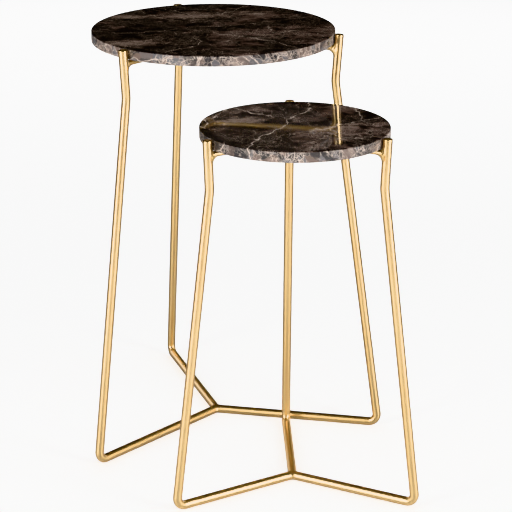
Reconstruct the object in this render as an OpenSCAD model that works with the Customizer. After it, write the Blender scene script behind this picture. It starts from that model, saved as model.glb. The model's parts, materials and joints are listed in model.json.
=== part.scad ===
// Two round nesting side tables.
// Each one is a slab of dark marble resting on three bent rods.
// A rod is a post beside the slab, a kink, a splayed leg, a foot bend and a floor rod.
// The three floor rods meet in a Y on the floor, and three thinner arms meet in a Y under the slab.
// +Z is up and z = 0 is the floor. The origin is under the middle of the pair's outline.

/* [Large table] */
// Diameter of the large marble top
large_top_d = 356; // [290:1:430]
// Height of the large top's upper face above the floor
large_height = 610; // [500:1:740]
// Thickness of the large marble slab
large_slab_t = 15; // [12:0.5:20]
// Distance from the large table's axis to the corner of each foot
large_foot_reach = 254; // [200:1:310]
// How much nearer to the axis the large table's kink lies than its post tops
large_kink_in = 5; // [2:0.5:8]

/* [Small table] */
// Diameter of the small marble top
small_top_d = 260; // [210:1:320]
// Thickness of the small marble slab
small_slab_t = 15; // [12:0.5:20]
// Distance from the small table's axis to the corner of each foot
small_foot_reach = 192.5; // [160:0.5:235]
// How much nearer to the axis the small table's kink lies than its post tops
small_kink_in = 3; // [2:0.5:8]

/* [Rods] */
// Diameter of the bent leg rods
rod_d = 13; // [10:0.5:16]
// Diameter of the straight arms under the slabs
arm_d = 8; // [6:0.5:10]
// Depth of the kink below the slab's upper face
kink_drop = 70; // [56:1:90]
// Centre-line radius of the kink
kink_bend_r = 60; // [45:1:75]
// Centre-line radius of the foot bend
foot_bend_r = 12.5; // [10:0.5:16]
// Length of the flared weld where an arm meets its post
flare_len = 8; // [5:0.5:10]
// How much the flare adds to the arm's radius at the post
flare_grow = 2; // [1:0.25:2.25]

/* [Slab fit] */
// Gap between a slab's rim and its posts
rim_gap = 1.5; // [1:0.25:3]
// Depth of the post tops below the slab's upper face
post_drop = 0.5; // [0.5:0.25:3]
// Size of the small bevel round a slab's edges
arris = 0.8; // [0.5:0.1:1.5]

/* [Pads] */
// Diameter of the pads between the arms and the slab
pad_d = 12; // [10:0.5:16]
// Distance the pads keep between the arms and the slab
pad_t = 1.5; // [1:0.25:3]
// Depth that a pad wraps down over its arm
pad_wrap = 1; // [0.5:0.25:1.5]
// Hairline between a pad and the slab that rests on it
pad_seat = 0.02; // [0.02:0.01:0.2]
// Distance from the slab's rim in to the middle of a pad
pad_inset = 30; // [20:1:50]

/* [Nesting] */
// Direction of the large table's left leg, counted from +X
large_turn = 228.5; // [220:0.5:238]
// Direction of the small table's left leg, counted from +X
small_turn = 212; // [205:0.5:220]
// Height left between the small top and the arms of the large table above it
nest_clearance = 57.5; // [15:0.5:120]
// Gap between the small table's back foot and the large table's right floor rod
foot_gap = 11; // [5:0.5:60]
// Distance of the small table's axis to the right of the middle of the large table's opening
nest_aside = 33.5; // [20:0.5:45]

/* [Hidden] */
$fn = 48;
BRASS = "#cfa45c";
MARBLE = "#3a2a24";
RUBBER = "#d8d6cf";

LEG_COUNT = 3;
LEG_STEP = 360 / LEG_COUNT;
// Legs and arms are counted from the left one, anticlockwise
LEFT = 0;
RIGHT = 1;
BACK = 2;

rod_r = rod_d / 2;
arm_r = arm_d / 2;
// A bend is a hair thicker than the straight stretches and laps over their ends, so that they join
bend_swell = 0.02;
lap = 0.3;
straight_r = rod_r - bend_swell;
// The flare stays a little narrower than the post that it runs into
flare_r = min(arm_r + flare_grow, straight_r - 0.25);

// The small top stands this high, so that it passes under the large table's arms
small_height = large_height - large_slab_t - pad_t - arm_d - nest_clearance;

// One table's own sizes: top radius, height, slab thickness, foot reach, kink offset and turn
LARGE = [large_top_d / 2, large_height, large_slab_t, large_foot_reach, large_kink_in, large_turn];
SMALL = [small_top_d / 2, small_height, small_slab_t, small_foot_reach, small_kink_in, small_turn];

function top_r(table) = table[0];
function height(table) = table[1];
function slab_t(table) = table[2];
function foot_reach(table) = table[3];
function kink_in(table) = table[4];
function turn(table) = table[5];
function leg_angle(table, i) = turn(table) + i * LEG_STEP;

// Points of a rod's centre line, as [distance from the table's axis, height]
function post_reach(table) = top_r(table) + rim_gap + rod_r;
function post_top(table) = [post_reach(table), height(table) - post_drop];
function kink(table) = [post_reach(table) - kink_in(table), height(table) - kink_drop];
function foot(table) = [foot_reach(table), rod_r];
function hub() = [0, rod_r];
function arm_z(table) = height(table) - slab_t(table) - pad_t - arm_r;

function unit(v) = v / norm(v);
function angle_of(v) = atan2(v[1], v[0]);
function signed_turn(u, v) = atan2(u[0] * v[1] - u[1] * v[0], u[0] * v[0] + u[1] * v[1]);
function bend_setback(a, b, c, bend_r) = bend_r * tan(abs(signed_turn(b - a, c - b)) / 2);
function foot_setback(table) = bend_setback(kink(table), foot(table), hub(), foot_bend_r);
function foot_bend_reach(table) = foot_reach(table) - foot_setback(table) + foot_bend_r;

// The large table's opening, between its front legs, points this way
nest_dir = large_turn + LEG_STEP / 2;
// Direction square to the large table's right floor rod, towards its back
rod_normal = leg_angle(LARGE, RIGHT) + 90;
foot_to_rod = foot_gap + rod_d + foot_bend_reach(SMALL) * cos(leg_angle(SMALL, BACK) - rod_normal);
nest_out = (foot_to_rod + nest_aside * cos(nest_dir + 90 - rod_normal)) / -cos(nest_dir - rod_normal);
small_axis = nest_out * [cos(nest_dir), sin(nest_dir)] + nest_aside * [-sin(nest_dir), cos(nest_dir)];

// Outline of the pair on the floor, from its slabs and feet
function foot_spots(table, centre) = [
    for (i = [0 : LEG_COUNT - 1])
        centre + foot_bend_reach(table) * [cos(leg_angle(table, i)), sin(leg_angle(table, i))]
];
FOOT_SPOTS = concat(foot_spots(LARGE, [0, 0]), foot_spots(SMALL, small_axis));
function low_edge(k) = min(concat(
    [for (p = FOOT_SPOTS) p[k] - rod_r],
    [-top_r(LARGE), small_axis[k] - top_r(SMALL)]));
function high_edge(k) = max(concat(
    [for (p = FOOT_SPOTS) p[k] + rod_r],
    [top_r(LARGE), small_axis[k] + top_r(SMALL)]));
large_place = -[low_edge(0) + high_edge(0), low_edge(1) + high_edge(1)] / 2;
small_place = large_place + small_axis;
function place(table) = table == LARGE ? large_place : small_place;

// A straight rod between two points of the drawing plane
module straight_rod(a, b, r) {
    translate([a[0], a[1], 0])
        rotate([0, 0, angle_of(b - a)])
            rotate([0, 90, 0])
                cylinder(h = norm(b - a), r = r);
}

// The bend at point b of a rod that runs from a over b to c in the drawing plane
module bend(a, b, c, bend_r, r) {
    along = unit(b - a);
    sweep = signed_turn(b - a, c - b);
    side = sign(sweep);
    normal = side * [-along[1], along[0]];
    start = b - bend_setback(a, b, c, bend_r) * along;
    centre = start + bend_r * normal;
    first = angle_of(-normal) + min(sweep, 0);
    translate([centre[0], centre[1], 0])
        rotate([0, 0, first])
            rotate_extrude(angle = abs(sweep))
                translate([bend_r, 0])
                    circle(r = r);
}

// Keeps the third of a shape that lies nearest to the +X axis, so that three of them meet in a Y
module third(reach, top_z) {
    intersection() {
        children();
        translate([0, 0, -1])
            linear_extrude(height = top_z + 2)
                polygon([[0, 0], [reach, reach * tan(LEG_STEP / 2)], [reach, -reach * tan(LEG_STEP / 2)]]);
    }
}

// Turns a shape drawn along +X to a leg's direction and stands it at its table's place
module at_leg(table, i) {
    translate([place(table)[0], place(table)[1], 0])
        rotate([0, 0, leg_angle(table, i)])
            children();
}

// The straight piece of rod that forms the post beside the slab
module post(table) {
    top = post_top(table);
    knee = kink(table);
    setback = bend_setback(top, knee, foot(table), kink_bend_r);
    straight_rod(top, knee - (setback - lap) * unit(knee - top), straight_r);
}

// One bent rod: post, kink, splayed leg, foot bend and floor rod
module bent_rod(table) {
    top = post_top(table);
    knee = kink(table);
    toe = foot(table);
    knee_setback = bend_setback(top, knee, toe, kink_bend_r);
    toe_setback = foot_setback(table);
    down = unit(toe - knee);
    rotate([90, 0, 0]) {
        post(table);
        bend(top, knee, toe, kink_bend_r, rod_r);
        straight_rod(knee + (knee_setback - lap) * down, toe - (toe_setback - lap) * down, straight_r);
        bend(knee, toe, hub(), foot_bend_r, rod_r);
        straight_rod(toe - [toe_setback - lap, 0], hub() - [rod_d, 0], straight_r);
    }
}

module leg(table, i) {
    color(BRASS)
        at_leg(table, i)
            third(2 * foot_reach(table), height(table))
                bent_rod(table);
}

// A straight arm from the middle of the table to its post, with a flared weld cut to the post's round
module arm(table, i) {
    z = arm_z(table);
    post_x = post_reach(table);
    color(BRASS)
        at_leg(table, i)
            third(2 * foot_reach(table), height(table))
                difference() {
                    translate([0, 0, z])
                        rotate([0, 90, 0]) {
                            translate([0, 0, -arm_d])
                                cylinder(h = arm_d + post_x, r = arm_r);
                            translate([0, 0, post_x - rod_r - flare_len])
                                cylinder(h = flare_len + rod_r, r1 = arm_r, r2 = flare_r);
                        }
                    rotate([90, 0, 0])
                        post(table);
                    // The side of the post that faces away from the slab
                    translate([post_x, -rod_d, z - rod_d])
                        cube([rod_d, 2 * rod_d, 2 * rod_d]);
                }
}

// Three soft pads on the arms, which carry the slab and wrap a little way over the arms
module pads(table) {
    z = arm_z(table);
    color(RUBBER)
        for (i = [LEFT, RIGHT, BACK])
            at_leg(table, i)
                difference() {
                    translate([top_r(table) - pad_inset, 0, z + arm_r - pad_wrap])
                        cylinder(h = pad_wrap + pad_t - pad_seat, d = pad_d);
                    translate([0, 0, z])
                        rotate([0, 90, 0])
                            cylinder(h = top_r(table), r = arm_r);
                }
}

// A round slab with a small bevel round both edges
module marble_top(table) {
    r = top_r(table);
    t = slab_t(table);
    color(MARBLE)
        translate([place(table)[0], place(table)[1], height(table) - t])
            rotate_extrude($fn = 180)
                polygon([
                    [0, 0],
                    [r - arris, 0],
                    [r, arris],
                    [r, t - arris],
                    [r - arris, t],
                    [0, t]
                ]);
}

marble_top(LARGE);  // large_marble_top
pads(LARGE);  // large_pads
leg(LARGE, LEFT);  // large_leg_left
leg(LARGE, RIGHT);  // large_leg_right
leg(LARGE, BACK);  // large_leg_back
arm(LARGE, LEFT);  // large_arm_left
arm(LARGE, RIGHT);  // large_arm_right
arm(LARGE, BACK);  // large_arm_back
marble_top(SMALL);  // small_marble_top
pads(SMALL);  // small_pads
leg(SMALL, LEFT);  // small_leg_left
leg(SMALL, RIGHT);  // small_leg_right
leg(SMALL, BACK);  // small_leg_back
arm(SMALL, LEFT);  // small_arm_left
arm(SMALL, RIGHT);  // small_arm_right
arm(SMALL, BACK);  // small_arm_back
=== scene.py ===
"""Two nesting side tables: dark marble tops on bent brass rods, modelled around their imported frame.

Each operator makes one group of like pieces, in metres, where the frame has its nodes.
"""

import json
import math

import bpy
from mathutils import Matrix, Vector

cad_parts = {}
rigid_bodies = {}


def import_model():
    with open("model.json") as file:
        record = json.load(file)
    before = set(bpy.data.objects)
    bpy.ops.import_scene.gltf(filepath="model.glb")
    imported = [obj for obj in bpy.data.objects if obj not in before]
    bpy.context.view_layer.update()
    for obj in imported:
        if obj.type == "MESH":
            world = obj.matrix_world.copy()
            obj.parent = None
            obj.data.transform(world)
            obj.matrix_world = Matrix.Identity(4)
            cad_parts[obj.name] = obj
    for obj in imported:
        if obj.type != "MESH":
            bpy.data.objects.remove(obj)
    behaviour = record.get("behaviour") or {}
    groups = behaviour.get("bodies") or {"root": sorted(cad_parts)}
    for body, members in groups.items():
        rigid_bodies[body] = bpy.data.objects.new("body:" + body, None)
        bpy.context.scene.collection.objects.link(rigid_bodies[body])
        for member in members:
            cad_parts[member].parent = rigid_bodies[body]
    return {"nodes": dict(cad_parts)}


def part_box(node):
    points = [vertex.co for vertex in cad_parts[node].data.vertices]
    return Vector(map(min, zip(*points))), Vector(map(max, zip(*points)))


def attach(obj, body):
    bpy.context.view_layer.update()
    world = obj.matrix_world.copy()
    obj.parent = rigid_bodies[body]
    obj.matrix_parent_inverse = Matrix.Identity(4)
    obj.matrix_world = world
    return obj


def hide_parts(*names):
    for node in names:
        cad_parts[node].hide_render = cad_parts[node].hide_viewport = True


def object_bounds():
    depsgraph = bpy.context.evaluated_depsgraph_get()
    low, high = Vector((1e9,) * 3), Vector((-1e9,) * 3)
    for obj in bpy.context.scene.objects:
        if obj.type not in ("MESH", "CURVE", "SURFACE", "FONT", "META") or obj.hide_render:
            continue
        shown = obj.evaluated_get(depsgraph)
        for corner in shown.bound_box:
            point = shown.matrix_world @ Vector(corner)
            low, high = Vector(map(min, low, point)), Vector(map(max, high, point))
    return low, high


bl_info = {
    "name": "Nesting Tables",
    "version": (1, 0, 0),
    "blender": (4, 5, 0),
    "location": "3D View > Sidebar > Nesting Tables",
    "description": "Marble tops, bent brass legs, arms and pads of two nesting side tables",
    "category": "Add Mesh",
}

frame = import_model()
CAD_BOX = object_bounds()

MM = 0.001
TABLES = ("large", "small")
SIDES = ("left", "right", "back")
UP = Vector((0.0, 0.0, 1.0))

# Points round a leg, an arm and a slab
ROUND_STEPS = 48
ARM_STEPS = 40
SLAB_STEPS = 288
# Steps over an eased edge, a pad's edge, an arm, its flared weld, a pad's underside and a slab's side
EASE_STEPS = 5
PAD_EASE_STEPS = 4
STRETCH_STEPS = 12
FLARE_STEPS = 14
PAD_STEPS = 6
SIDE_STEPS = 3
# The most that a rod turns from one ring to the next, and the most that a slab's rings are apart
BEND_STEP = math.radians(4)
RING_GAP = 5 * MM
# Rounds in which the foot's corner settles
FOOT_ROUNDS = 6
# Stations along the last stretch before a mitre, close together at its end so that the welds shade smoothly
MITRE_RUN = (0.0, 0.14, 0.28, 0.4, 0.5, 0.6, 0.69, 0.77, 0.84, 0.9, 0.945, 0.975, 0.992, 1.0)

QUARTER = math.radians(90)
# Half the angle between two neighbouring floor rods
HALF_THIRD = math.radians(60)
# A leg's top cap leans by less than this
CAP_LEAN = 1 * MM
# How wide the flat middle of a post's cap and of a pad is, as a share of the whole
CAP_FLAT = 0.6
PAD_FLAT = 0.5
# How far a welded end reaches into the rod that it joins, and how far its closing point does
WELD_SINK = 0.1 * MM
WELD_TIP = 2 * MM
# Length of an arm's flare, in radii of its weld
FLARE_LENGTH = 1.6
# Depth that a pad wraps down over its arm, its radius, and its distance from the slab's rim
PAD_WRAP = 1 * MM
PAD_RADIUS = 6 * MM
PAD_INSET = 30 * MM
# How far a vein leans through the slab, how fast it thins beyond its end, and the width at which it has gone
VEIN_LEAN = 0.5
VEIN_FADE = 0.06
VEIN_GONE = -2.0


# ---------------------------------------------------------------- sizes and colours


class NestingSizes(bpy.types.PropertyGroup):
    """Sizes of the rods, welds, slab edges and pads"""

    rod_diameter: bpy.props.FloatProperty(
        name="Rod diameter", description="Diameter of the bent leg rods",
        default=0.013, min=0.008, max=0.02, unit="LENGTH", precision=4)
    arm_diameter: bpy.props.FloatProperty(
        name="Arm diameter", description="Diameter of the straight arms under the slabs",
        default=0.008, min=0.004, max=0.012, unit="LENGTH", precision=4)
    kink_depth: bpy.props.FloatProperty(
        name="Kink depth", description="Depth of the kink below the slab's upper face",
        default=0.07, min=0.05, max=0.1, unit="LENGTH", precision=4)
    kink_radius: bpy.props.FloatProperty(
        name="Kink radius", description="Centre-line radius of the kink",
        default=0.06, min=0.03, max=0.09, unit="LENGTH", precision=4)
    large_kink_in: bpy.props.FloatProperty(
        name="Large kink offset",
        description="How much nearer the axis the large table's kink is than its post tops",
        default=0.005, min=0.0, max=0.012, unit="LENGTH", precision=4)
    small_kink_in: bpy.props.FloatProperty(
        name="Small kink offset",
        description="How much nearer the axis the small table's kink is than its post tops",
        default=0.003, min=0.0, max=0.012, unit="LENGTH", precision=4)
    foot_radius: bpy.props.FloatProperty(
        name="Foot radius", description="Centre-line radius of the bend at each foot",
        default=0.0125, min=0.008, max=0.02, unit="LENGTH", precision=4)
    post_round: bpy.props.FloatProperty(
        name="Post rounding", description="Radius of the eased edge round a post's top",
        default=0.0008, min=0.0002, max=0.003, unit="LENGTH", precision=4)
    floor_weld: bpy.props.FloatProperty(
        name="Floor weld radius", description="Radius of the ground weld in the corners between the floor rods",
        default=0.008, min=0.001, max=0.015, unit="LENGTH", precision=4)
    arm_weld: bpy.props.FloatProperty(
        name="Arm weld radius", description="Radius of the ground weld in the corners between the arms",
        default=0.006, min=0.001, max=0.012, unit="LENGTH", precision=4)
    weld_below: bpy.props.FloatProperty(
        name="Weld below an arm", description="Radius of the weld between the underside of an arm and its post",
        default=0.010, min=0.001, max=0.014, unit="LENGTH", precision=4)
    weld_above: bpy.props.FloatProperty(
        name="Weld above an arm", description="Radius of the weld between the upper side of an arm and its post",
        default=0.0049, min=0.001, max=0.006, unit="LENGTH", precision=4)
    weld_beside: bpy.props.FloatProperty(
        name="Weld beside an arm", description="Radius of the weld at the flanks of an arm",
        default=0.0022, min=0.0005, max=0.0024, unit="LENGTH", precision=4)
    slab_round: bpy.props.FloatProperty(
        name="Slab rounding", description="Radius of the eased edges round a slab",
        default=0.0009, min=0.0003, max=0.003, unit="LENGTH", precision=4)
    pad_round: bpy.props.FloatProperty(
        name="Pad rounding", description="Radius of the eased rim of a pad",
        default=0.0006, min=0.0001, max=0.001, unit="LENGTH", precision=4)


class NestingColours(bpy.types.PropertyGroup):
    """Colours of the brass, the stone, the pads and the floor"""

    brass: bpy.props.FloatVectorProperty(
        name="Brass", description="Main colour of the brass",
        default=(0.88, 0.61, 0.265), subtype="COLOR", min=0.0, max=1.0)
    brass_deep: bpy.props.FloatVectorProperty(
        name="Deep brass", description="Colour of the brass where the lacquer is thicker",
        default=(0.78, 0.5, 0.185), subtype="COLOR", min=0.0, max=1.0)
    stone_dark: bpy.props.FloatVectorProperty(
        name="Stone ground", description="Ground colour of the marble",
        default=(0.0145, 0.0128, 0.012), subtype="COLOR", min=0.0, max=1.0)
    stone_brown: bpy.props.FloatVectorProperty(
        name="Stone brown", description="Colour of the brown mottling",
        default=(0.13, 0.096, 0.082), subtype="COLOR", min=0.0, max=1.0)
    stone_cloud: bpy.props.FloatVectorProperty(
        name="Stone clouds", description="Colour of the pale taupe clouds",
        default=(0.25, 0.19, 0.158), subtype="COLOR", min=0.0, max=1.0)
    stone_vein: bpy.props.FloatVectorProperty(
        name="Stone veins", description="Colour of the calcite veins",
        default=(0.68, 0.54, 0.44), subtype="COLOR", min=0.0, max=1.0)
    stone_vein_grey: bpy.props.FloatVectorProperty(
        name="Stone grey veins", description="Colour of the greyer calcite veins",
        default=(0.42, 0.36, 0.32), subtype="COLOR", min=0.0, max=1.0)
    edge_dark: bpy.props.FloatVectorProperty(
        name="Edge dark", description="Darkest fragments on the slab's edge",
        default=(0.026, 0.0235, 0.024), subtype="COLOR", min=0.0, max=1.0)
    edge_grey: bpy.props.FloatVectorProperty(
        name="Edge grey", description="Grey fragments on the slab's edge",
        default=(0.092, 0.087, 0.09), subtype="COLOR", min=0.0, max=1.0)
    edge_brown: bpy.props.FloatVectorProperty(
        name="Edge brown", description="Brown fragments on the slab's edge",
        default=(0.118, 0.085, 0.07), subtype="COLOR", min=0.0, max=1.0)
    edge_pale: bpy.props.FloatVectorProperty(
        name="Edge pale", description="Palest fragments on the slab's edge",
        default=(0.4, 0.315, 0.265), subtype="COLOR", min=0.0, max=1.0)
    pad: bpy.props.FloatVectorProperty(
        name="Pads", description="Colour of the clear silicone pads",
        default=(0.78, 0.77, 0.73), subtype="COLOR", min=0.0, max=1.0)
    floor: bpy.props.FloatVectorProperty(
        name="Floor", description="Colour of the floor",
        default=(0.9, 0.9, 0.9), subtype="COLOR", min=0.0, max=1.0)


# ---------------------------------------------------------------- where the pieces are


class Table:
    """Where one table's slab, arms and legs are, read from the frame's nodes."""

    def __init__(self, name, sizes):
        self.name = name
        low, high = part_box(f"{name}_marble_top")
        self.axis = Vector(((low.x + high.x) / 2, (low.y + high.y) / 2, 0.0))
        self.radius = (high.x - low.x) / 2
        self.face, self.underside = high.z, low.z
        self.arm_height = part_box(f"{name}_pads")[0].z + PAD_WRAP - sizes.arm_diameter / 2
        self.kink_in = getattr(sizes, f"{name}_kink_in")

    def leg(self, side):
        """Outward direction of a leg, and its post top as (distance from the axis, height)."""
        node = f"{self.name}_leg_{side}"
        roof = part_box(node)[1].z
        cap = [v.co for v in frame["nodes"][node].data.vertices if v.co.z > roof - CAP_LEAN]
        middle = Vector([(min(c[k] for c in cap) + max(c[k] for c in cap)) / 2 for k in range(3)])
        outward = Vector((middle.x - self.axis.x, middle.y - self.axis.y, 0.0))
        return outward.normalized(), Vector((outward.length, middle.z))

    def foot_edge(self, side, outward):
        """Distance from the axis to the outermost point of a foot."""
        node = frame["nodes"][f"{self.name}_leg_{side}"]
        return max((v.co - self.axis).dot(outward) for v in node.data.vertices)


def quarter(steps, first=0):
    """Angles of a quarter turn."""
    return [QUARTER * i / steps for i in range(first, steps + 1)]


def bend_setback(a, b, c, radius):
    """Distance from corner b to where its bend starts."""
    turn = (b - a).angle(c - b)
    return radius * math.tan(turn / 2)


def corner_of_foot(edge, knee, sizes):
    """The foot's corner on the rod's centre line, found from the foot's outermost point."""
    rod = sizes.rod_diameter / 2
    corner = Vector((edge - rod, rod))
    for _ in range(FOOT_ROUNDS):
        setback = bend_setback(knee, corner, Vector((0.0, rod)), sizes.foot_radius)
        corner.x = edge - rod + setback - sizes.foot_radius
    return corner


def bent_line(points, radii):
    """Places, directions and run lengths along a line through the points, with its inner corners bent."""
    line = [(points[0].copy(), (points[1] - points[0]).normalized())]
    for a, b, c, radius in zip(points, points[1:], points[2:], radii):
        entry, leave = (b - a).normalized(), (c - b).normalized()
        turn = math.atan2(entry.x * leave.y - entry.y * leave.x, entry.dot(leave))
        start = b - entry * bend_setback(a, b, c, radius)
        side = Vector((-entry.y, entry.x)) * math.copysign(1.0, turn)
        centre = start + side * radius
        steps = max(4, math.ceil(abs(turn) / BEND_STEP))
        arm = start - centre
        for i in range(steps + 1):
            angle = turn * i / steps
            cos, sin = math.cos(angle), math.sin(angle)
            place = centre + Vector((arm.x * cos - arm.y * sin, arm.x * sin + arm.y * cos))
            line.append((place, Vector((entry.x * cos - entry.y * sin, entry.x * sin + entry.y * cos))))
    line.append((points[-1].copy(), line[-1][1].copy()))
    run, walked = 0.0, []
    for i, (place, direction) in enumerate(line):
        if i:
            run += (place - line[i - 1][0]).length
        walked.append((place, direction, run))
    return walked


# ---------------------------------------------------------------- meshes


class Shape:
    """Collects the points and faces of one piece, with a place on the rod for each point."""

    def __init__(self, name):
        self.name = name
        self.points, self.grain, self.lines = [], [], []
        self.faces, self.flat, self.finish = [], [], []

    def ring(self, points, grain=None, lines=None):
        """Adds points, with their places along and around the rod and the direction of the rod there."""
        first = len(self.points)
        self.points.extend(points)
        self.grain.extend(grain or points)
        self.lines.extend(lines or [UP] * len(points))
        return list(range(first, first + len(points)))

    def face(self, corners, flat=False, finish=0):
        self.faces.append(corners)
        self.flat.append(flat)
        self.finish.append(finish)

    def wall(self, a, b, finish=0):
        """Faces between two closed rings of points."""
        count = len(a)
        for i in range(count):
            j = (i + 1) % count
            self.face((a[i], a[j], b[j], b[i]), finish=finish)

    def fan(self, centre, ring, finish=0, under=False):
        """Faces between a middle point and a closed ring, seen from above or from under it."""
        for a, b in zip(ring, ring[1:] + ring[:1]):
            self.face((a, centre, b) if under else (centre, a, b), finish=finish)

    def build(self, materials, place):
        """The finished object, its faces turned outwards."""
        mesh = bpy.data.meshes.new(self.name)
        mesh.from_pydata(self.points, [], self.faces)
        mesh.validate()
        mesh.polygons.foreach_set("use_smooth", [not f for f in self.flat])
        mesh.polygons.foreach_set("material_index", self.finish)
        store(mesh, "grain_place", self.grain)
        store(mesh, "rod_direction", self.lines)
        sharp = mesh.attributes.new("sharp_edge", "BOOLEAN", "EDGE")
        edge_faces = {}
        for polygon in mesh.polygons:
            for key in polygon.edge_keys:
                edge_faces.setdefault(key, []).append(polygon.index)
        sharp.data.foreach_set(
            "value",
            [any(self.flat[f] for f in edge_faces.get(e.key, ())) for e in mesh.edges])
        for material in materials:
            mesh.materials.append(material)
        mesh.update()
        piece = bpy.data.objects.new(self.name, mesh)
        bpy.context.scene.collection.objects.link(piece)
        piece.location = place
        return piece


def store(mesh, name, vectors):
    """Keeps a vector on each point of a mesh."""
    attribute = mesh.attributes.new(name, "FLOAT_VECTOR", "POINT")
    attribute.data.foreach_set("vector", [x for vector in vectors for x in vector])


def circle(steps):
    """Angles of a ring of points."""
    return [2 * math.pi * i / steps for i in range(steps)]


def mitre_run(lateral, weld, run, start):
    """Where a flank point is, on the last stretch of a rod that meets two others in a Y.

    lateral is its distance beside the centre line, weld the radius of the ground corner there, and
    run goes from 0 at the distance start from the joint to 1 on the mitre plane. It gives the
    distance from the joint and the distance beside the centre line.
    """
    turn_out = (lateral + weld) / math.tan(HALF_THIRD)
    end = turn_out - weld * math.cos(HALF_THIRD)
    along = start + run * (end - start)
    if along >= turn_out or weld == 0.0:
        return along, lateral
    return along, lateral + weld - math.sqrt(max(weld * weld - (turn_out - along) ** 2, 0.0))


def add_mitre(shape, last, radius, weld, frame_of, angles, run_so_far, outward):
    """Carries a rod inwards from its ring last to the mitre planes, and closes it there."""
    start = (radius + weld) / math.tan(HALF_THIRD)
    ring = last
    for run in MITRE_RUN[1:]:
        points, grain = [], []
        for angle in angles:
            flank = abs(math.sin(angle))
            along, lateral = mitre_run(radius * flank, weld * flank, run, start)
            lateral = math.copysign(lateral, math.sin(angle))
            points.append(frame_of(along, lateral, radius * math.cos(angle)))
            grain.append(Vector((run_so_far + start - along, lateral, radius * math.cos(angle))))
        new = shape.ring(points, grain, [outward] * len(angles))
        shape.wall(ring, new)
        ring = new
    half = len(angles) // 2
    shape.face(tuple(ring[: half + 1]), flat=True)
    shape.face(tuple(ring[half:] + ring[:1]), flat=True)


def leg_piece(table, side, sizes, materials):
    """One bent rod: post, kink, splayed leg, foot bend and floor rod, ground smooth where the three meet."""
    outward, top = table.leg(side)
    beside = UP.cross(outward)
    rod = sizes.rod_diameter / 2
    knee = Vector((top.x - table.kink_in, table.face - sizes.kink_depth))
    corner = corner_of_foot(table.foot_edge(side, outward), knee, sizes)
    mitre_start = (rod + sizes.floor_weld) / math.tan(HALF_THIRD)
    end = Vector((mitre_start, rod))
    line = bent_line([top, knee, corner, end], [sizes.kink_radius, sizes.foot_radius])
    shape = Shape(f"{table.name}_{side}_leg_rod")
    angles = circle(ROUND_STEPS)

    def add_ring(place, direction, run, radius, tip=1.0):
        """One ring round the rod. Its lines follow the rod, and turn inwards on the cap as tip goes to 0."""
        normal = Vector((-direction.y, direction.x))
        ahead = outward * direction.x + UP * direction.y
        points, grain, lines = [], [], []
        for angle in angles:
            aside = (outward * normal.x + UP * normal.y) * math.cos(angle) + beside * math.sin(angle)
            points.append(outward * place.x + UP * place.y + aside * radius)
            grain.append(Vector((run, math.sin(angle) * radius, math.cos(angle) * radius)))
            lines.append(ahead * tip + aside * math.sqrt(1 - tip * tip))
        return shape.ring(points, grain, lines)

    # The post's top: a flat cap with an eased edge
    place, direction, _ = line[0]
    ease = sizes.post_round
    ring = add_ring(place, direction, 0.0, (rod - ease) * CAP_FLAT, 0.0)
    shape.face(tuple(reversed(ring)))
    for angle in quarter(EASE_STEPS):
        down, out = ease * (1 - math.cos(angle)), ease * math.sin(angle)
        new = add_ring(place + direction * down, direction, down, rod - ease + out, min(math.sin(angle), 1.0))
        shape.wall(ring, new)
        ring = new
    for place, direction, run in line[1:]:
        new = add_ring(place, direction, run, rod)
        shape.wall(ring, new)
        ring = new
    # On the floor rod, angle 0 is its underside
    add_mitre(shape, ring, rod, sizes.floor_weld,
              lambda along, lateral, rise: outward * along + beside * lateral + UP * (rod - rise),
              angles, line[-1][2], outward)
    return shape.build(materials, table.axis)


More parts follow.
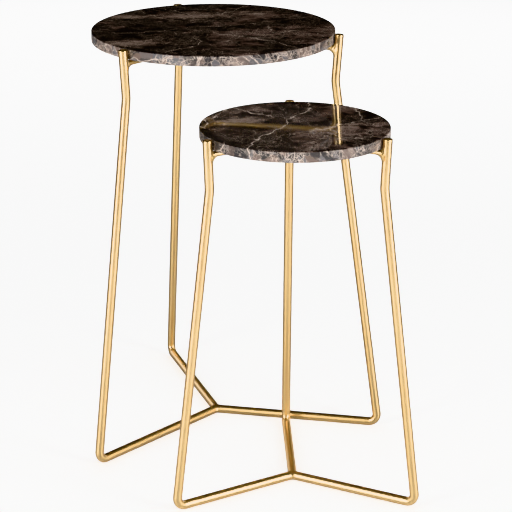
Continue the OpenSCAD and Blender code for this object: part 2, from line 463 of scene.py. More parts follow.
def arm_piece(table, side, sizes, materials):
    """One straight arm, from the Y in the middle to a ground fillet on its post."""
    outward, top = table.leg(side)
    beside = UP.cross(outward)
    arm, rod = sizes.arm_diameter / 2, sizes.rod_diameter / 2
    knee_height = table.face - sizes.kink_depth
    lean = table.kink_in / (top.y - knee_height)
    shape = Shape(f"{table.name}_{side}_arm_rod")
    angles = circle(ARM_STEPS)
    height = table.arm_height
    mean = (sizes.weld_above + sizes.weld_below) / 2
    tilt = (sizes.weld_above - sizes.weld_below) / 2
    round_all, round_flank = (mean + sizes.weld_beside) / 2, (mean - sizes.weld_beside) / 2

    def weld_size(angle):
        return round_all + tilt * math.cos(angle) + round_flank * math.cos(2 * angle)

    def on_post(reach, lateral, rise):
        """Distance from the axis of a point at that distance out from the post's middle line."""
        middle = top.x - (top.y - height - rise) * lean
        return middle - math.sqrt(max(reach * reach - lateral * lateral, 0.0))

    def add_ring(rule):
        points, grain = [], []
        for angle in angles:
            along, lateral, rise = rule(angle)
            points.append(outward * along + beside * lateral + UP * (height + rise))
            grain.append(Vector((along, lateral, rise)))
        return shape.ring(points, grain, [outward] * len(angles))

    # From the mitre outwards, so the first ring is the one where the corner welds begin
    start = (arm + sizes.arm_weld) / math.tan(HALF_THIRD)
    first = add_ring(lambda a: (start, arm * math.sin(a), arm * math.cos(a)))
    add_mitre(shape, first, arm, sizes.arm_weld,
              lambda along, lateral, rise: outward * along + beside * lateral + UP * (height + rise),
              angles, 0.0, outward)
    ring = first
    flare_start = top.x - rod - FLARE_LENGTH * max(sizes.weld_below, sizes.weld_above)
    for i in range(1, STRETCH_STEPS + 1):
        along = start + (flare_start - start) * i / STRETCH_STEPS
        new = add_ring(lambda a: (along, arm * math.sin(a), arm * math.cos(a)))
        shape.wall(new, ring)
        ring = new
    for i, turn in enumerate(quarter(FLARE_STEPS)):
        sink = WELD_SINK if i == FLARE_STEPS else 0.0

        def rule(angle):
            weld = weld_size(angle)
            spread = arm + weld * (1 - math.cos(turn))
            gap = weld * (1 - math.sin(turn)) - sink
            lateral, rise = spread * math.sin(angle), spread * math.cos(angle)
            return on_post(rod + gap, lateral, rise), lateral, rise

        new = add_ring(rule)
        shape.wall(new, ring)
        ring = new
    tip = shape.ring([outward * (top.x - rod + WELD_TIP) + UP * height], [Vector((top.x, 0.0, 0.0))])[0]
    for i in range(len(ring)):
        shape.face((ring[i], ring[(i + 1) % len(ring)], tip), flat=True)
    return shape.build(materials, table.axis)


def pad_piece(table, sizes, materials):
    """Three clear pads, each a low disc with an eased rim whose underside wraps over its arm."""
    low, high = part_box(f"{table.name}_pads")
    shape = Shape(f"{table.name}_slab_pads")
    arm = sizes.arm_diameter / 2
    radius, ease = PAD_RADIUS, sizes.pad_round
    angles = circle(ROUND_STEPS)

    def underside(lateral):
        wrap = table.arm_height + math.sqrt(max(arm * arm - lateral * lateral, 0.0))
        return max(low.z, wrap) if abs(lateral) < arm else low.z

    for side in SIDES:
        outward, _ = table.leg(side)
        beside = UP.cross(outward)
        middle = outward * (table.radius - PAD_INSET)

        def add_ring(reach, height_rule):
            points = []
            for angle in angles:
                lateral = reach * math.sin(angle)
                points.append(middle + outward * reach * math.cos(angle) + beside * lateral
                              + UP * height_rule(lateral))
            return shape.ring(points)

        top_centre = shape.ring([middle + UP * high.z])[0]
        ring = add_ring(PAD_FLAT * (radius - ease), lambda w: high.z)
        shape.fan(top_centre, ring)
        for angle in quarter(PAD_EASE_STEPS):
            new = add_ring(radius - ease + ease * math.sin(angle),
                           lambda w: high.z - ease * (1 - math.cos(angle)))
            shape.wall(new, ring)
            ring = new
        for i in range(PAD_STEPS, 0, -1):
            new = add_ring(radius * i / PAD_STEPS, underside)
            shape.wall(new, ring)
            ring = new
        low_centre = shape.ring([middle + UP * (table.arm_height + arm)])[0]
        shape.fan(low_centre, ring, under=True)
    return shape.build(materials, table.axis)


# The long calcite veins of each slab, as points on its face in millimetres from its middle, and their width
VEINS = {
    "large": (
        (((-64, 131), (-43, 111), (-27, 88), (-7, 86), (18, 99), (38, 131), (50, 150)), 0.5),
        (((20, -38), (58, -61), (75, -72), (94, -83), (105, -101), (118, -118)), 0.9),
        (((88, 8), (92, -23), (104, -34), (119, -17), (140, -10)), 0.6),
        (((-22, -60), (-8, -88), (-12, -114), (-35, -132), (-60, -158)), 0.35),
        (((-160, -20), (-120, -34), (-70, -20), (-20, 10), (30, 14), (76, 40)), 0.3),
        (((-110, 130), (-96, 96), (-60, 60), (-30, 40), (10, 52)), 0.35),
    ),
    "small": (
        (((31, 125), (29, 98), (27, 75), (7, 52), (-2, 25), (-7, -4), (-26, -39), (-36, -48), (-42, -69),
          (-58, -110)), 1.7),
        (((108, 30), (98, 25), (81, 14), (67, 1), (50, -16), (24, -30)), 1.3),
        (((88, 96), (94, 86), (100, 55), (98, 25), (112, 8)), 1.2),
        (((-126, 4), (-117, -8), (-111, 10), (-116, 33), (-106, 40), (-98, 55), (-93, 75), (-79, 96)), 2.4),
        (((-72, 90), (-65, 80), (-57, 71), (-49, 63), (-40, 58)), 1.8),
        (((40, -20), (62, -52), (90, -64)), 1.0),
    ),
}
# Pale clouds of each slab: middle, half length and half width in millimetres, direction in degrees, and strength
CLOUDS = {
    "large": (
        ((-100, -98), 66, 26, 14, 0.85),
        ((-132, 82), 34, 15, 0, 0.85),
        ((-24, 84), 76, 30, 8, 0.85),
        ((60, 112), 46, 18, -20, 0.5),
        ((96, -62), 40, 16, -40, 0.4),
        ((-20, -30), 50, 16, 20, 0.35),
    ),
    "small": (
        ((-66, 26), 44, 17, 12, 1.0),
        ((-88, -16), 24, 14, 30, 0.7),
        ((-82, 62), 40, 16, 40, 0.6),
        ((72, -6), 40, 22, 25, 0.6),
        ((12, 60), 20, 12, 60, 0.5),
        ((-20, -74), 30, 14, 0, 0.3),
    ),
}


def far_from_line(x, y, points):
    """Signed distance from a bent line that runs on past its ends, and how far beyond an end the place is."""
    best, side, beyond = math.inf, 1.0, 0.0
    last = len(points) - 2
    for i in range(len(points) - 1):
        (ax, ay), (bx, by) = points[i], points[i + 1]
        dx, dy = bx - ax, by - ay
        span = dx * dx + dy * dy
        t = ((x - ax) * dx + (y - ay) * dy) / span
        held = min(max(t, -math.inf if i == 0 else 0.0), math.inf if i == last else 1.0)
        px, py = ax + held * dx, ay + held * dy
        far = math.hypot(x - px, y - py)
        if far < best:
            best = far
            side = math.copysign(1.0, dx * (y - py) - dy * (x - px))
            past_end = (i == 0 and t < 0) or (i == last and t > 1)
            beyond = max(-t, t - 1.0) * math.sqrt(span) if past_end else 0.0
    return best * side, beyond


def slab_piece(table, sizes, materials):
    """One round slab with eased edges, whose points know how far the long veins and the clouds are."""
    shape = Shape(f"{table.name}_marble_slab")
    radius, ease = table.radius, sizes.slab_round
    thick = table.face - table.underside
    angles = circle(SLAB_STEPS)
    # Distance from the middle, height, and which of the three finishes the ring closes
    profile = []
    count = math.ceil((radius - ease) / RING_GAP)
    for i in range(1, count + 1):
        profile.append(((radius - ease) * i / count, thick, 0))
    for angle in quarter(EASE_STEPS, first=1):
        profile.append((radius - ease + ease * math.sin(angle), thick - ease * (1 - math.cos(angle)), 0))
    for i in range(1, SIDE_STEPS + 1):
        profile.append((radius, thick - ease - (thick - 2 * ease) * i / SIDE_STEPS, 1))
    for angle in quarter(EASE_STEPS, first=1):
        profile.append((radius - ease + ease * math.cos(angle), ease * (1 - math.sin(angle)), 1))
    for i in range(count - 1, 0, -1):
        profile.append(((radius - ease) * i / count, 0.0, 2))
    top_centre = shape.ring([Vector((0.0, 0.0, thick))])[0]
    ring = None
    for reach, height, finish in profile:
        new = shape.ring([Vector((reach * math.cos(a), reach * math.sin(a), height)) for a in angles])
        if ring is None:
            shape.fan(top_centre, new)
        else:
            shape.wall(new, ring, finish)
        ring = new
    low_centre = shape.ring([Vector((0.0, 0.0, 0.0))])[0]
    shape.fan(low_centre, ring, finish=2, under=True)
    slab = shape.build(materials, table.axis + UP * table.underside)
    paint_veins(slab, VEINS[table.name], CLOUDS[table.name])
    return slab


def paint_veins(slab, veins, clouds):
    """Stores on each point its distance to the long veins, their width there, and the cloud cover."""
    mesh = slab.data
    far = {"vein_far_a": [], "vein_far_b": [], "vein_wide_a": [], "vein_wide_b": []}
    half = len(veins) // 2
    cover = []
    for vertex in mesh.vertices:
        x, y = vertex.co.x / MM, vertex.co.y / MM
        x += VEIN_LEAN * vertex.co.z / MM
        values = []
        for points, width in veins:
            distance, beyond = far_from_line(x, y, points)
            values.append((distance * MM, max(width - VEIN_FADE * beyond, VEIN_GONE) * MM / 2))
        for group, chosen in (("a", values[:half]), ("b", values[half:])):
            far[f"vein_far_{group}"].append([v[0] for v in chosen])
            far[f"vein_wide_{group}"].append([v[1] for v in chosen])
        total = 0.0
        for (cx, cy), length, width, degrees, weight in clouds:
            turn = math.radians(degrees)
            u = (x - cx) * math.cos(turn) + (y - cy) * math.sin(turn)
            v = -(x - cx) * math.sin(turn) + (y - cy) * math.cos(turn)
            total += weight * math.exp(-((u / length) ** 2 + (v / width) ** 2))
        cover.append(min(total, 1.0))
    for name, values in far.items():
        store(mesh, name, values)
    attribute = mesh.attributes.new("cloud_cover", "FLOAT", "POINT")
    attribute.data.foreach_set("value", cover)


# ---------------------------------------------------------------- materials


class Recipe:
    """One procedural material, built node by node."""

    def __init__(self, name):
        self.material = bpy.data.materials.new(name)
        self.material.use_nodes = True
        self.tree = self.material.node_tree
        self.tree.nodes.clear()
        self.shader = self.node("BsdfPrincipled")
        self.node("OutputMaterial", Surface=self.shader.outputs["BSDF"])

    def put(self, socket, value):
        """Joins a node's output to a socket, or sets the socket's own value."""
        if isinstance(value, bpy.types.NodeSocket):
            self.tree.links.new(value, socket)
        else:
            socket.default_value = value

    def set(self, **values):
        """Sets the shader's own sockets, such as Base_Color."""
        for name, value in values.items():
            self.put(self.shader.inputs[name.replace("_", " ")], value)

    def node(self, kind, **inputs):
        """A new node, with inputs joined or set by their names."""
        node = self.tree.nodes.new(f"ShaderNode{kind}")
        for name, value in inputs.items():
            self.put(node.inputs[name.replace("_", " ")], value)
        return node

    def attribute(self, name, output="Vector"):
        node = self.node("Attribute")
        node.attribute_name = name
        return node.outputs[output]

    def place(self):
        return self.node("TexCoord").outputs["Object"]

    def stretch(self, vector, scale=(1.0, 1.0, 1.0), shift=(0.0, 0.0, 0.0)):
        return self.node("Mapping", Vector=vector, Scale=scale, Location=shift).outputs["Vector"]

    def noise(self, vector, scale, detail=3.0, rough=0.5, output="Fac", distortion=0.0):
        node = self.node("TexNoise", Vector=vector, Scale=scale, Detail=detail, Roughness=rough,
                         Distortion=distortion)
        return node.outputs[output]

    def crack(self, vector, scale):
        """Distance to the nearest edge between stone fragments, in fragment sizes."""
        node = self.node("TexVoronoi", Vector=vector, Scale=scale)
        node.feature = "DISTANCE_TO_EDGE"
        return node.outputs["Distance"]

    def fragment(self, vector, scale):
        """A colour for each stone fragment."""
        return self.node("TexVoronoi", Vector=vector, Scale=scale).outputs["Color"]

    def math(self, operation, a, b=None, clamp=False):
        node = self.node("Math")
        node.operation = operation
        node.use_clamp = clamp
        self.put(node.inputs[0], a)
        if b is not None:
            self.put(node.inputs[1], b)
        return node.outputs[0]

    def plus(self, a, b, clamp=False):
        return self.math("ADD", a, b, clamp)

    def times(self, a, b, clamp=False):
        return self.math("MULTIPLY", a, b, clamp)

    def vector(self, operation, a, b=None, scale=None):
        node = self.node("VectorMath")
        node.operation = operation
        self.put(node.inputs[0], a)
        if b is not None:
            self.put(node.inputs[1], b)
        if scale is not None:
            self.put(node.inputs["Scale"], scale)
        return node.outputs["Value" if operation == "LENGTH" else "Vector"]

    def split(self, vector):
        return self.node("SeparateXYZ", Vector=vector).outputs[:3]

    def between(self, value, low, high, start=0.0, end=1.0, smooth=True):
        """Maps low to start and high to end, and holds the value beyond them."""
        node = self.node("MapRange", Value=value, From_Min=low, From_Max=high, To_Min=start, To_Max=end)
        node.interpolation_type = "SMOOTHSTEP" if smooth else "LINEAR"
        return node.outputs["Result"]

    def blend(self, share, a, b):
        """Mixes two colours."""
        node = self.node("Mix")
        node.data_type = "RGBA"
        self.put(node.inputs["Factor"], share)
        colours = [s for s in node.inputs if s.type == "RGBA"]
        for socket, value in zip(colours, (a, b)):
            self.put(socket, value if isinstance(value, bpy.types.NodeSocket) else (*value[:3], 1.0))
        return next(s for s in node.outputs if s.type == "RGBA")

    def warp(self, vector, scale, amount, detail=3.0):
        """Pushes a place about by noise, by about half the amount."""
        push = self.noise(vector, scale, detail=detail, rough=0.55, output="Color")
        centred = self.vector("SUBTRACT", push, (0.5, 0.5, 0.5))
        return self.vector("ADD", vector, self.vector("SCALE", centred, scale=amount))

    def bump(self, height, depth, below=None, strength=1.0):
        node = self.node("Bump", Distance=depth, Strength=strength, Height=height)
        if below is not None:
            self.put(node.inputs["Normal"], below)
        return node.outputs["Normal"]


# The brass's tone, brushed lines and fine scratches, as repeats per metre along and around the rod
BRASS_TONE = (9.0, 60.0, 60.0)
BRASS_LINES = (30.0, 1300.0, 1300.0)
BRASS_SCRATCHES = (260.0, 3600.0, 3600.0)
# The brass's pits and dents, as repeats per metre, and the depth of each relief
BRASS_PITS = 700.0
BRASS_DENTS = 60.0
LINE_DEPTH = 0.012 * MM
PIT_DEPTH = 0.03 * MM
DENT_DEPTH = 0.05 * MM


def brass_material(colours):
    """Satin brass under a thin lacquer: fine lines along the rod, a soft cloudy tone and a few small pits."""
    recipe = Recipe("satin_brass")
    place = recipe.attribute("grain_place")
    tone = recipe.noise(recipe.stretch(place, BRASS_TONE), 1.0, detail=4.0, rough=0.6)
    streaks = recipe.noise(recipe.stretch(place, BRASS_LINES), 1.0, detail=3.0, rough=0.6)
    fine = recipe.noise(recipe.stretch(place, BRASS_SCRATCHES), 1.0, detail=2.0)
    pits = recipe.between(recipe.noise(place, BRASS_PITS, detail=1.0), 0.72, 0.8)
    share = recipe.between(tone, 0.35, 0.68, 0.1, 0.7)
    share = recipe.plus(share, recipe.between(streaks, 0.3, 0.7, -0.08, 0.12), clamp=True)
    colour = recipe.blend(share, colours.brass, colours.brass_deep)
    rough = recipe.between(streaks, 0.25, 0.75, 0.27, 0.34)
    rough = recipe.plus(rough, recipe.between(tone, 0.3, 0.7, 0.0, 0.04))
    rough = recipe.plus(rough, recipe.times(pits, 0.12))
    lines = recipe.plus(streaks, recipe.times(fine, 0.5))
    normal = recipe.bump(lines, LINE_DEPTH, strength=0.35)
    normal = recipe.bump(recipe.times(pits, -1.0), PIT_DEPTH, below=normal, strength=0.5)
    normal = recipe.bump(recipe.noise(place, BRASS_DENTS, detail=1.0), DENT_DEPTH, below=normal, strength=0.12)
    recipe.set(Base_Color=colour, Roughness=rough, Normal=normal)
    recipe.set(Metallic=1.0, IOR=1.45, Anisotropic=0.75, Tangent=recipe.attribute("rod_direction"))
    # Polished rods darken to a warm brown where they turn away
    recipe.set(Specular_Tint=(0.8, 0.5, 0.3, 1.0))
    recipe.set(Coat_Weight=1.0, Coat_Roughness=0.28, Coat_IOR=1.8)
    return recipe.material


# How the top, the side and the underside of a slab are worked: how much of the fragments shows, how strong and how
# widespread the crackle is, the roughness of the ground and of the veins, and the depth of the grain
STONE_FINISHES = {
    "polished": {"lift": 0.0, "crackle": 0.4, "spread": 0.0, "rough": 0.03, "rough_vein": 0.07, "grain": 0.01 * MM},
    "honed": {"lift": 1.0, "crackle": 0.95, "spread": 0.05, "rough": 0.42, "rough_vein": 0.45, "grain": 0.05 * MM},
    "sawn": {"lift": 0.06, "crackle": 0.5, "spread": 0.0, "rough": 0.6, "rough_vein": 0.65, "grain": 0.12 * MM},
}
# The crackle's three scales: fragments per metre, width of a line in fragments, its strength, and the repeats per
# metre of the patches that have it and where the patches begin
CRACKLE = (
    (26.0, 0.03, 0.9, 15.0, 0.48),
    (90.0, 0.045, 0.95, 27.0, 0.46),
    (230.0, 0.075, 0.8, 43.0, 0.47),
)
CRACKLE_FADE = 0.11
# Where in the stone's pattern the crackle lies
CRACKLE_SHIFT = (0.37, 0.21, 0.0)
# The most that a long vein wanders, how softly its line ends, and how far its haze spreads
VEIN_WANDER = 11 * MM
VEIN_SOFT = (-0.2 * MM, 0.6 * MM)
VEIN_HAZE = 6 * MM
# Edge fragments per metre
FRAGMENTS = 90.0


def crackle_lines(recipe, place, jagged, spread):
    """Thin calcite lines between the stone's fragments, at three scales, each only in places."""
    place = recipe.stretch(place, shift=CRACKLE_SHIFT)
    total = None
    for scale, width, strength, patch, cover in CRACKLE:
        line = recipe.between(recipe.crack(jagged, scale), 0.0, width, strength, 0.0)
        patches = recipe.noise(place, patch, detail=3.0)
        line = recipe.times(line, recipe.between(patches, cover - spread, cover - spread + CRACKLE_FADE))
        total = line if total is None else recipe.math("MAXIMUM", total, line)
    return total


def long_vein_lines(recipe, place, smoke):
    """The long veins, from the distances stored on the slab's points, wandering and broken by noise."""
    wander = recipe.noise(place, 60.0, detail=6.0, rough=0.62)
    wander = recipe.between(wander, 0.0, 1.0, -VEIN_WANDER, VEIN_WANDER, smooth=False)
    thick = recipe.between(recipe.noise(place, 42.0, detail=3.0), 0.3, 0.7, 0.35, 1.25)
    total = None
    for group in "ab":
        far = recipe.split(recipe.attribute(f"vein_far_{group}"))
        wide = recipe.split(recipe.attribute(f"vein_wide_{group}"))
        for distance, width in zip(far, wide):
            off = recipe.math("ABSOLUTE", recipe.plus(distance, wander))
            edge = recipe.math("SUBTRACT", off, recipe.times(width, thick))
            line = recipe.between(edge, *VEIN_SOFT, 1.0, 0.0)
            haze = recipe.between(edge, 0.0, VEIN_HAZE, 0.25, 0.0)
            haze = recipe.times(haze, recipe.between(smoke, 0.42, 0.62))
            line = recipe.math("MAXIMUM", line, haze)
            total = line if total is None else recipe.math("MAXIMUM", total, line)
    broken = recipe.between(recipe.noise(place, 90.0, detail=4.0, rough=0.65), 0.36, 0.56, 0.2, 1.0)
    return recipe.times(total, broken)


def marble_material(finish, colours):
    """Dark breccia marble, the same through the whole slab: mottling, clouds, crackle and long veins."""
    work = STONE_FINISHES[finish]
    recipe = Recipe(f"{finish}_marble")
    place = recipe.place()
    swirl = recipe.warp(place, 11.0, 0.05, detail=3.0)
    jagged = recipe.warp(swirl, 60.0, 0.014, detail=5.0)

    # Brown mottling, drawn out along one direction
    drawn = recipe.stretch(jagged, (0.55, 1.0, 1.0))
    mottle = recipe.noise(drawn, 34.0, detail=10.0, rough=0.68, distortion=0.3)
    smoke = recipe.noise(drawn, 105.0, detail=8.0, rough=0.72)
    patches = recipe.noise(drawn, 13.0, detail=3.0)
    cover = recipe.attribute("cloud_cover", "Fac")
    brown = recipe.plus(mottle, recipe.times(recipe.math("SUBTRACT", smoke, 0.5), 0.6))
    brown = recipe.plus(brown, recipe.times(recipe.math("SUBTRACT", patches, 0.5), 0.7))
    ground = recipe.blend(recipe.between(brown, 0.54, 0.68), colours.stone_dark, colours.stone_brown)

    # Pale clouds, torn by the finer noise
    torn = recipe.plus(recipe.times(cover, 0.37), recipe.times(smoke, 0.9))
    torn = recipe.plus(torn, recipe.times(mottle, 0.4))
    cloud = recipe.between(torn, 0.75, 1.0)
    ground = recipe.blend(recipe.times(cloud, 0.85), ground, colours.stone_cloud)

    # Away from the polished face the fragments show paler, in greys and browns of their own
    if work["lift"]:
        tone, hue, _ = recipe.split(recipe.fragment(jagged, FRAGMENTS))
        fragment = recipe.blend(recipe.between(hue, 0.35, 0.65), colours.edge_grey, colours.edge_brown)
        fragment = recipe.blend(recipe.between(tone, 0.38, 0.62), colours.edge_dark, fragment)
        ground = recipe.blend(work["lift"] * 0.9, ground, fragment)
        pale = recipe.times(recipe.between(mottle, 0.5, 0.6), recipe.between(smoke, 0.46, 0.58))
        pale = recipe.times(pale, 0.5 * work["lift"])
        ground = recipe.blend(pale, ground, colours.edge_pale)

    crackle = recipe.times(crackle_lines(recipe, place, jagged, work["spread"]), work["crackle"])
    veins = recipe.math("MAXIMUM", crackle, long_vein_lines(recipe, place, smoke))
    calcite = recipe.blend(recipe.noise(place, 35.0, detail=2.0), colours.stone_vein, colours.stone_vein_grey)
    colour = recipe.blend(recipe.times(veins, 0.9, clamp=True), ground, calcite)

    rough = recipe.between(veins, 0.0, 1.0, work["rough"], work["rough_vein"], smooth=False)
    cloudy_polish = recipe.between(recipe.noise(place, 220.0, detail=4.0), 0.35, 0.75, 0.0, work["rough"] * 0.5)
    pores = recipe.noise(place, 1500.0, detail=3.0, rough=0.6)
    relief = recipe.math("SUBTRACT", recipe.times(pores, 0.6), recipe.times(veins, 0.8))
    recipe.set(Base_Color=colour, Roughness=recipe.plus(rough, cloudy_polish))
    recipe.set(Normal=recipe.bump(relief, work["grain"], strength=0.6), IOR=1.55)
    return recipe.material


# The pads' relief, and how much darker than their colour their hazy parts are
PAD_GRAIN = 0.03 * MM
PAD_SHADE = 0.82


def shaded(colour, share):
    """A darker shade of a colour."""
    return tuple(c * share for c in colour)


def pad_material(colours):
    """Clear silicone with a faint haze."""
    recipe = Recipe("clear_silicone")
    place = recipe.place()
    haze = recipe.noise(place, 320.0, detail=3.0)
    colour = recipe.blend(recipe.between(haze, 0.3, 0.7), colours.pad, shaded(colours.pad, PAD_SHADE))
    recipe.set(Base_Color=colour, Roughness=recipe.between(haze, 0.3, 0.7, 0.22, 0.38))
    recipe.set(Normal=recipe.bump(recipe.noise(place, 900.0, detail=2.0), PAD_GRAIN, strength=0.4))
    recipe.set(Transmission_Weight=0.6, IOR=1.41)
    return recipe.material


# ---------------------------------------------------------------- floor, light and camera


FLOOR_HALF = 14.0
FLOOR_GAP = 0.02 * MM
# How much the floor glows to the camera, near the tables and far off, and between which distances that changes
FLOOR_GLOW = (0.75, 1.5)
GLOW_REACH = (0.4, 3.2)
# How dark the floor's faint clouding is
FLOOR_SHADE = 0.985
# Painted dark reflection: how dark the floor's colour is behind the tables in reflections alone, and from where to
# where it darkens
DARK_REFLECTION_SHADE = 0.3
DARK_REFLECTION_REACH = (-1.5, 0.5)
# Light from all round on matt surfaces, and as seen past the floor
AMBIENT = (0.14, 0.14, 0.14)
SEEN_AROUND = (1.6, 1.6, 1.6)
# Brightness of the surroundings in reflections, by the height of the direction above the horizon, and its tint
WALLS = ((0.0, 0.5), (0.06, 0.18), (0.13, 0.007))
WALL_TINT = (1.0, 0.98, 0.96)
# Softboxes: name, place, point aimed at, width, height, power, and whether each lights the matt surfaces or the rods
# alone, so that no bright box shows in the polished faces
SOFTBOXES = (
    ("left_softbox", (-1.9, -1.7, 1.05), (0.0, 0.0, 0.3), 0.7, 2.0, 86.0, "matt"),
    ("right_softbox", (2.0, -1.5, 1.05), (0.0, 0.0, 0.3), 0.7, 2.0, 90.0, "matt"),
    ("back_softbox", (0.4, 3.0, 1.2), (0.0, 0.0, 0.4), 2.6, 1.6, 26.0, "matt"),
    ("front_softbox", (0.2, -2.9, 2.5), (0.0, 0.0, 0.2), 2.8, 1.8, 58.0, "matt"),
    ("front_rod_softbox", (0.2, -2.9, 2.5), (0.0, 0.0, 0.2), 2.8, 1.8, 58.0, "rods"),
    ("left_rod_softbox", (-1.9, -1.7, 1.02), (0.0, 0.0, 0.3), 0.75, 2.0, 100.0, "rods"),
    ("right_rod_softbox", (2.0, -1.5, 1.02), (0.0, 0.0, 0.3), 0.75, 2.0, 104.0, "rods"),
    ("back_left_rod_softbox", (-2.0, 2.2, 1.0), (0.0, 0.0, 0.3), 1.0, 1.6, 12.0, "rods"),
    ("back_right_rod_softbox", (2.2, 2.0, 1.0), (0.0, 0.0, 0.3), 1.0, 1.6, 12.0, "rods"),
)
# The camera, measured from the large table's axis on the floor
CAMERA_OFFSET = (0.0620, -2.7247, 1.2063)
CAMERA_DIP = 19.18
CAMERA_LENS = 133.6
CAMERA_SENSOR = 36.0


def floor_material(colours):
    """Matt pale studio floor that glows a little to the camera, so that it stays evenly pale far off, and whose
    colour is painted darker behind the tables for reflected rays alone.
    """
    recipe = Recipe("studio_floor")
    place = recipe.place()
    paper = recipe.noise(place, 3.0, detail=4.0)
    shown = recipe.blend(recipe.between(paper, 0.3, 0.7), colours.floor, shaded(colours.floor, FLOOR_SHADE))
    # Painted dark reflection: for reflected rays alone the floor's colour darkens behind the tables, so that the
    # rods mirror it dark there
    _, back, _ = recipe.split(place)
    dark_reflection_share = recipe.between(back, *DARK_REFLECTION_REACH)
    mirrored = recipe.blend(dark_reflection_share, colours.floor, shaded(colours.floor, DARK_REFLECTION_SHADE))
    path = recipe.node("LightPath")
    recipe.set(Base_Color=recipe.blend(path.outputs["Is Glossy Ray"], shown, mirrored))
    recipe.set(Roughness=recipe.between(paper, 0.3, 0.7, 0.8, 0.95), IOR=1.2)
    recipe.set(Emission_Color=(1.0, 1.0, 1.0, 1.0))
    glow = recipe.between(recipe.vector("LENGTH", place), *GLOW_REACH, *FLOOR_GLOW)
    recipe.set(Emission_Strength=recipe.times(path.outputs["Is Camera Ray"], glow))
    return recipe.material


def studio_world():
    """Even light on matt surfaces, a dark ceiling over pale walls in reflections, and plain pale if seen."""
    world = bpy.data.worlds.new("studio_world")
    bpy.context.scene.world = world
    world.use_nodes = True
    tree = world.node_tree
    tree.nodes.clear()

    def add(kind):
        return tree.nodes.new(f"ShaderNode{kind}")

    def background(colour):
        node = add("Background")
        node.inputs["Color"].default_value = (*colour, 1.0)
        return node

    def mix(share, first, second):
        node = add("MixShader")
        tree.links.new(share, node.inputs["Fac"])
        tree.links.new(first.outputs[0], node.inputs[1])
        tree.links.new(second.outputs[0], node.inputs[2])
        return node

    seen, ambient, around = background(SEEN_AROUND), background(AMBIENT), background(SEEN_AROUND)
    coords, split, ramp, path = add("TexCoord"), add("SeparateXYZ"), add("ValToRGB"), add("LightPath")
    stops = ramp.color_ramp.elements
    stops.remove(stops[1])
    for i, (height, grey) in enumerate(WALLS):
        stop = stops[0] if i == 0 else stops.new(height)
        stop.position = height
        stop.color = (*(grey * share for share in WALL_TINT), 1.0)
    tree.links.new(coords.outputs["Generated"], split.inputs[0])
    tree.links.new(split.outputs[2], ramp.inputs["Fac"])
    tree.links.new(ramp.outputs["Color"], around.inputs["Color"])
    mirrored = mix(path.outputs["Is Glossy Ray"], ambient, around)
    final = mix(path.outputs["Is Camera Ray"], mirrored, seen)
    tree.links.new(final.outputs[0], add("OutputWorld").inputs["Surface"])


# ---------------------------------------------------------------- operators


def finish_piece(piece, table, part, nodes):
    """Parents a piece to the body that it moves with, and hides the frame's nodes that it stands for."""
    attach(piece, f"{table.name}_{part}")
    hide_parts(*nodes)


def tables():
    """Both tables as the frame has them."""
    sizes = bpy.context.scene.nesting_sizes
    return [Table(name, sizes) for name in TABLES]


def make_rods(scene, make, part):
    """Makes the legs or the arms of both tables, all in the same brass."""
    brass = bpy.data.materials.get("satin_brass") or brass_material(scene.nesting_colours)
    for table in tables():
        for side in SIDES:
            rod = make(table, side, scene.nesting_sizes, [brass])
            finish_piece(rod, table, "frame", [f"{table.name}_{part}_{side}"])


class NESTING_OT_marble_slabs(bpy.types.Operator):
    """Make the two round marble slabs"""

    bl_idname = "nesting.marble_slabs"
    bl_label = "Marble Slabs"

    def execute(self, context):
        colours = context.scene.nesting_colours
        materials = [marble_material(finish, colours) for finish in STONE_FINISHES]
        for table in tables():
            slab = slab_piece(table, context.scene.nesting_sizes, materials)
            finish_piece(slab, table, "top", [f"{table.name}_marble_top"])
        return {"FINISHED"}


class NESTING_OT_slab_pads(bpy.types.Operator):
    """Make the clear pads under the slabs"""

    bl_idname = "nesting.slab_pads"
    bl_label = "Slab Pads"

    def execute(self, context):
        material = pad_material(context.scene.nesting_colours)
        for table in tables():
            pads = pad_piece(table, context.scene.nesting_sizes, [material])
            finish_piece(pads, table, "frame", [f"{table.name}_pads"])
        return {"FINISHED"}


class NESTING_OT_leg_rods(bpy.types.Operator):
    """Make the six bent legs with their floor rods"""

    bl_idname = "nesting.leg_rods"
    bl_label = "Leg Rods"

    def execute(self, context):
        make_rods(context.scene, leg_piece, "leg")
        return {"FINISHED"}


class NESTING_OT_arm_rods(bpy.types.Operator):
    """Make the six arms under the slabs with their ground welds"""

    bl_idname = "nesting.arm_rods"
    bl_label = "Arm Rods"

    def execute(self, context):
        make_rods(context.scene, arm_piece, "arm")
        return {"FINISHED"}


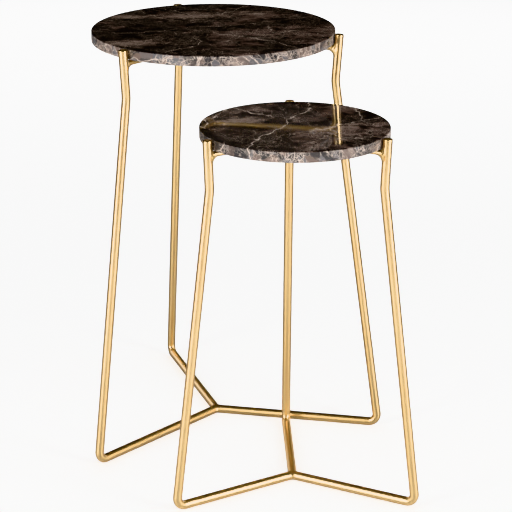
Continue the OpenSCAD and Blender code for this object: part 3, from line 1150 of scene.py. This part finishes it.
class NESTING_OT_stage(bpy.types.Operator):
    """Make the floor, the softboxes and the camera"""

    bl_idname = "nesting.stage"
    bl_label = "Stage"

    def execute(self, context):
        scene = context.scene
        mesh = bpy.data.meshes.new("studio_floor")
        half = FLOOR_HALF
        corners = [(-half, -half, 0.0), (half, -half, 0.0), (half, half, 0.0), (-half, half, 0.0)]
        mesh.from_pydata(corners, [], [(0, 1, 2, 3)])
        mesh.materials.append(floor_material(scene.nesting_colours))
        floor = bpy.data.objects.new("studio_floor", mesh)
        floor.location.z = CAD_BOX[0].z - FLOOR_GAP
        scene.collection.objects.link(floor)
        rods = bpy.data.collections.new("brass_rods")
        for piece in scene.objects:
            if piece.name.endswith("_rod"):
                rods.objects.link(piece)
        for name, place, aim, width, height, power, reach in SOFTBOXES:
            data = bpy.data.lights.new(name, "AREA")
            data.shape = "RECTANGLE"
            data.size, data.size_y, data.energy = width, height, power
            light = bpy.data.objects.new(name, data)
            light.location = place
            light.rotation_euler = (Vector(aim) - Vector(place)).to_track_quat("-Z", "Y").to_euler()
            light.visible_camera = False
            light.visible_glossy = reach != "matt"
            if reach == "rods":
                light.light_linking.receiver_collection = rods
            scene.collection.objects.link(light)
        studio_world()
        data = bpy.data.cameras.new("camera")
        data.lens = CAMERA_LENS
        data.sensor_width = CAMERA_SENSOR
        camera = bpy.data.objects.new("camera", data)
        camera.location = Table("large", scene.nesting_sizes).axis + Vector(CAMERA_OFFSET)
        camera.rotation_euler = (math.radians(90 - CAMERA_DIP), 0.0, 0.0)
        scene.collection.objects.link(camera)
        scene.camera = camera
        scene.view_settings.view_transform = "Khronos PBR Neutral"
        scene.view_settings.look = "None"
        return {"FINISHED"}


class NESTING_PT_sidebar(bpy.types.Panel):
    """Buttons for the nesting tables' pieces"""

    bl_idname = "NESTING_PT_sidebar"
    bl_label = "Nesting Tables"
    bl_space_type = "VIEW_3D"
    bl_region_type = "UI"
    bl_category = "Nesting Tables"

    def draw(self, context):
        layout = self.layout
        for operator in OPERATORS:
            layout.operator(operator.bl_idname)
        for group in (context.scene.nesting_sizes, context.scene.nesting_colours):
            column = layout.column()
            for name in group.__annotations__:
                column.prop(group, name)


OPERATORS = (
    NESTING_OT_marble_slabs,
    NESTING_OT_slab_pads,
    NESTING_OT_leg_rods,
    NESTING_OT_arm_rods,
    NESTING_OT_stage,
)
CLASSES = (NestingSizes, NestingColours, *OPERATORS, NESTING_PT_sidebar)


def register():
    for cls in CLASSES:
        bpy.utils.register_class(cls)
    bpy.types.Scene.nesting_sizes = bpy.props.PointerProperty(type=NestingSizes)
    bpy.types.Scene.nesting_colours = bpy.props.PointerProperty(type=NestingColours)


def unregister():
    del bpy.types.Scene.nesting_colours
    del bpy.types.Scene.nesting_sizes
    for cls in reversed(CLASSES):
        bpy.utils.unregister_class(cls)


def main():
    """Registers the classes, and makes every piece and the stage."""
    register()
    bpy.ops.nesting.marble_slabs()
    bpy.ops.nesting.slab_pads()
    bpy.ops.nesting.leg_rods()
    bpy.ops.nesting.arm_rods()
    bpy.ops.nesting.stage()


if __name__ == "__main__":
    main()
